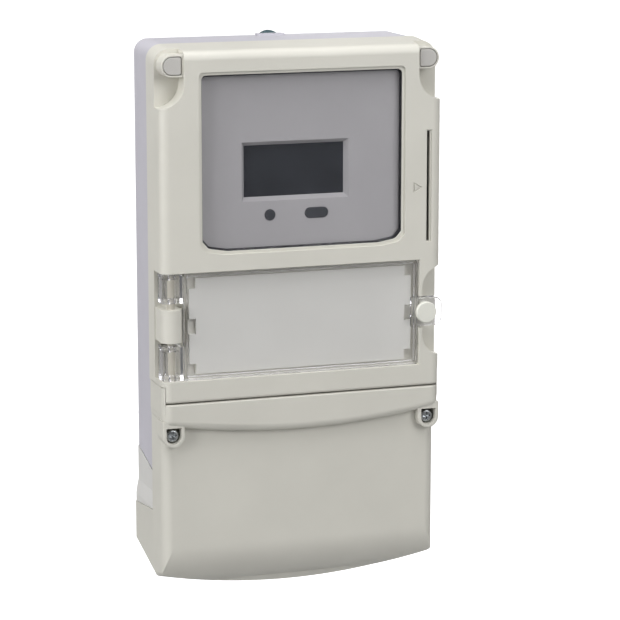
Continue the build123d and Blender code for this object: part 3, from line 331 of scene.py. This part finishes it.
def lamp_epoxy(name, tint):
    """The tinted epoxy of a lamp."""
    g = Graph(name)
    base = g.mix(g.ramp(g.noise(1.5 * MM), 0.3, 0.7), tint, scaled(tint, 0.85))
    rough = g.ramp(g.noise(0.8 * MM), 0.3, 0.7, 0.05, 0.14)
    normal = g.bump(g.noise(1.0 * MM), 0.01 * MM)
    return g.finish(base, rough, normal, IOR=1.5, Transmission_Weight=0.8)


CREAM = linear("D3D1C8")
LAVENDER = linear("C3C1C9")

MATERIALS = {
    "cover_cream": moulded("cover_cream", CREAM),
    "terminal_cover_cream": moulded("terminal_cover_cream", scaled(CREAM, 0.98)),
    "cheek_cream": moulded("cheek_cream", linear("D4D3D0"), 0.45),
    "base_grey": moulded("base_grey", LAVENDER, 0.48),
    "clear_plastic": clear("clear_plastic", linear("F4F4F8")),
    "window_clear": thin_pane("window_clear", linear("F6F6F8")),
    "face_grey": moulded("face_grey", linear("ABA9AB"), 0.55, 0.25 * MM, 0.006 * MM, 0.2 * MM),
    "display_dark": display_glass(),
    "dark_window": dark_translucent(),
    "plug_grey": moulded("plug_grey", linear("BDBBB7"), 0.45),
    "knob_cream": moulded("knob_cream", linear("E2E2D9"), 0.38),
    # pin_cream is the cream darkened as painted shade, for the pin that sits in shadow inside the
    # clear hinge knuckle.
    "pin_cream": moulded("pin_cream", linear("B9B5AA"), 0.45),
    "panel_grey": moulded("panel_grey", linear("E0DFD8"), 0.50),
    "zinc_steel": metal("zinc_steel", linear("BFC3C6"), 0.28),
    "blue_zinc": metal("blue_zinc", linear("5A6E72"), 0.34, (1, 1, 0.15)),
    "brass": metal("brass", linear("C9A765"), 0.30),
    "copper": metal("copper", linear("B87A58"), 0.34, (1, 1, 0.2)),
    "seal_rubber": rubber(),
    "board_green": circuit_board(),
    "black_plastic": moulded("black_plastic", linear("2B2B2E"), 0.50),
    "block_grey": moulded("block_grey", linear("5C5E62"), 0.50),
    "white_plastic": moulded("white_plastic", linear("DCDCD8"), 0.42),
    "can_aluminium": metal("can_aluminium", linear("B9BCC2"), 0.36, (1, 0.2, 1)),
    "winding_tape": wound_tape(),
    "core_steel": laminated_core(),
    "varistor_blue": moulded("varistor_blue", linear("2F4A86"), 0.30),
    "lamp_clear": lamp_epoxy("lamp_clear", linear("E08A7A")),
}


def dress_nodes():
    """Gives every carried-over node the material of its slot."""
    slots = {part["node"]: part["material_slot"] for part in frame["record"]["subparts"]}
    for name, node in NODES.items():
        material = MATERIALS[slots[name]]
        for material_slot in node.material_slots:
            material_slot.material = material


# Added pieces ----------------------------------------------------------------------------------

def rounded_corners(points, radius, steps=6):
    """A closed outline with an arc in place of each corner."""
    rounded = []
    for i, corner in enumerate(points):
        corner = Vector(corner)
        before = (Vector(points[i - 1]) - corner).normalized()
        after = (Vector(points[(i + 1) % len(points)]) - corner).normalized()
        half = before.angle(after) / 2
        reach = radius / math.tan(half)
        centre = corner + (before + after).normalized() * (radius / math.sin(half))
        start = corner + before * reach - centre
        sweep = start.angle_signed(corner + after * reach - centre)
        for k in range(steps + 1):
            turn = sweep * k / steps
            rounded.append((centre.x + start.x * math.cos(turn) + start.y * math.sin(turn),
                            centre.y - start.x * math.sin(turn) + start.y * math.cos(turn)))
    return rounded


def frame_mesh(name, outer, inner, near, far):
    """A flat closed frame between two outlines in X and Z, from one depth to another."""
    mesh = bmesh.new()
    loops = [[mesh.verts.new((x, -depth, z)) for x, z in outline]
             for outline, depth in ((outer, near), (outer, far), (inner, far), (inner, near))]
    count = len(outer)
    for first, second in zip(loops, loops[1:] + loops[:1]):
        for i in range(count):
            j = (i + 1) % count
            mesh.faces.new((first[i], first[j], second[j], second[i]))
    bmesh.ops.recalc_face_normals(mesh, faces=mesh.faces)
    data = bpy.data.meshes.new(name)
    mesh.to_mesh(data)
    mesh.free()
    made = bpy.data.objects.new(name, data)
    bpy.context.scene.collection.objects.link(made)
    return made


def window_path(inset):
    """The window's outline, inset from the pane's flange: swept up at its lower corners."""
    low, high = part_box("window_lens")
    half = high[0] - inset
    bottom, top = low[2] + inset, high[2] - inset
    sweep, rise = 13.0 * MM, 5.5 * MM
    bend = (half - sweep * 0.25, bottom + rise * 0.3)
    right = [(half, top), (half, bottom + rise), bend, (half - sweep, bottom)]
    left = [(-x, z) for x, z in reversed(right)]
    return rounded_corners(right + left, 2.5 * MM)


def window_shade_strip():
    """A dark rubber strip just behind the pane, put there as painted shade: the dark line of shade
    round the window's inner edge.
    """
    lens_rear = -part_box("window_lens")[1][1]
    # Painted shade: a dark ring behind the pane's edge that stands in for the shade round the
    # window.
    shade_strip = frame_mesh("window_shade_strip", window_path(2.9 * MM), window_path(4.1 * MM),
                      lens_rear - 0.7 * MM, lens_rear - 0.1 * MM)
    shade_strip.data.materials.append(MATERIALS["seal_rubber"])
    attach(shade_strip, "root")


# Stage, light and camera -----------------------------------------------------------------------

def backdrop():
    """A pale floor that sweeps up into a wall far behind."""
    mesh = bmesh.new()
    low, high, width = -0.62, 3.2, 9.0
    front, back, bend = -9.0, 1.9, 0.6
    profile = [(front, low), (back - bend, low)]
    steps = 16
    for i in range(1, steps):
        angle = math.pi / 2 * i / steps
        profile.append((back - bend + bend * math.sin(angle), low + bend * (1 - math.cos(angle))))
    profile.append((back, low + bend))
    profile.append((back, high))
    rows = [[mesh.verts.new((x, y, z)) for x in (-width, width)] for y, z in profile]
    for first, second in zip(rows, rows[1:]):
        mesh.faces.new((first[0], first[1], second[1], second[0]))
    data = bpy.data.meshes.new("studio_floor")
    mesh.to_mesh(data)
    mesh.free()
    floor = bpy.data.objects.new("studio_floor", data)
    bpy.context.scene.collection.objects.link(floor)
    g = Graph("studio_paper")
    g.shader.inputs["Emission Color"].default_value = (1, 1, 1, 1)
    path = g.node("ShaderNodeLightPath")
    through_glass = g.maths("MULTIPLY", path.outputs["Is Transmission Ray"], 0.15)
    seen = g.maths("MAXIMUM", path.outputs["Is Camera Ray"], through_glass)
    g.feed(g.shader.inputs["Emission Strength"], seen)
    data.materials.append(g.finish((0.45, 0.45, 0.45, 1.0), 0.9))
    for face in data.polygons:
        face.use_smooth = True


def area_light(name, place, size, power):
    """A soft white square light that points at the meter."""
    data = bpy.data.lights.new(name, "AREA")
    data.shape = "SQUARE"
    data.size = size
    data.energy = power
    light = bpy.data.objects.new(name, data)
    light.location = place
    light.rotation_euler = (METER - Vector(place)).to_track_quat("-Z", "Y").to_euler()
    bpy.context.scene.collection.objects.link(light)


def lights():
    """Broad lights overhead, to the left and at the front right, and a weak one behind."""
    area_light("overhead", (-0.1, -0.35, 1.5), 1.4, 22)
    area_light("left", (-1.7, -0.5, 0.5), 1.3, 25)
    area_light("front_right", (0.9, -1.7, 0.9), 1.2, 22)
    area_light("behind", (0.9, 1.5, 0.0), 0.8, 8)
    world = bpy.data.worlds.new("studio")
    bpy.context.scene.world = world
    world.use_nodes = True
    background = world.node_tree.nodes["Background"]
    background.inputs["Color"].default_value = (1.0, 1.0, 1.0, 1.0)
    background.inputs["Strength"].default_value = 0.03


def camera():
    """A long lens, from the meter's left and a little above."""
    target = Vector((0.01365, -0.0316, -0.0004))
    azimuth, elevation, distance = math.radians(18.73), math.radians(11.23), 1.3859
    away = Vector((-math.sin(azimuth) * math.cos(elevation),
                   -math.cos(azimuth) * math.cos(elevation), math.sin(elevation)))
    data = bpy.data.cameras.new("camera")
    data.lens = 151.73
    data.sensor_width = 36
    data.clip_end = 20
    made = bpy.data.objects.new("camera", data)
    made.location = target + away * distance
    made.rotation_euler = (-away).to_track_quat("-Z", "Y").to_euler()
    bpy.context.scene.collection.objects.link(made)
    bpy.context.scene.camera = made
    bpy.context.scene.view_settings.view_transform = "Standard"


dress_nodes()
window_shade_strip()
backdrop()
lights()
camera()
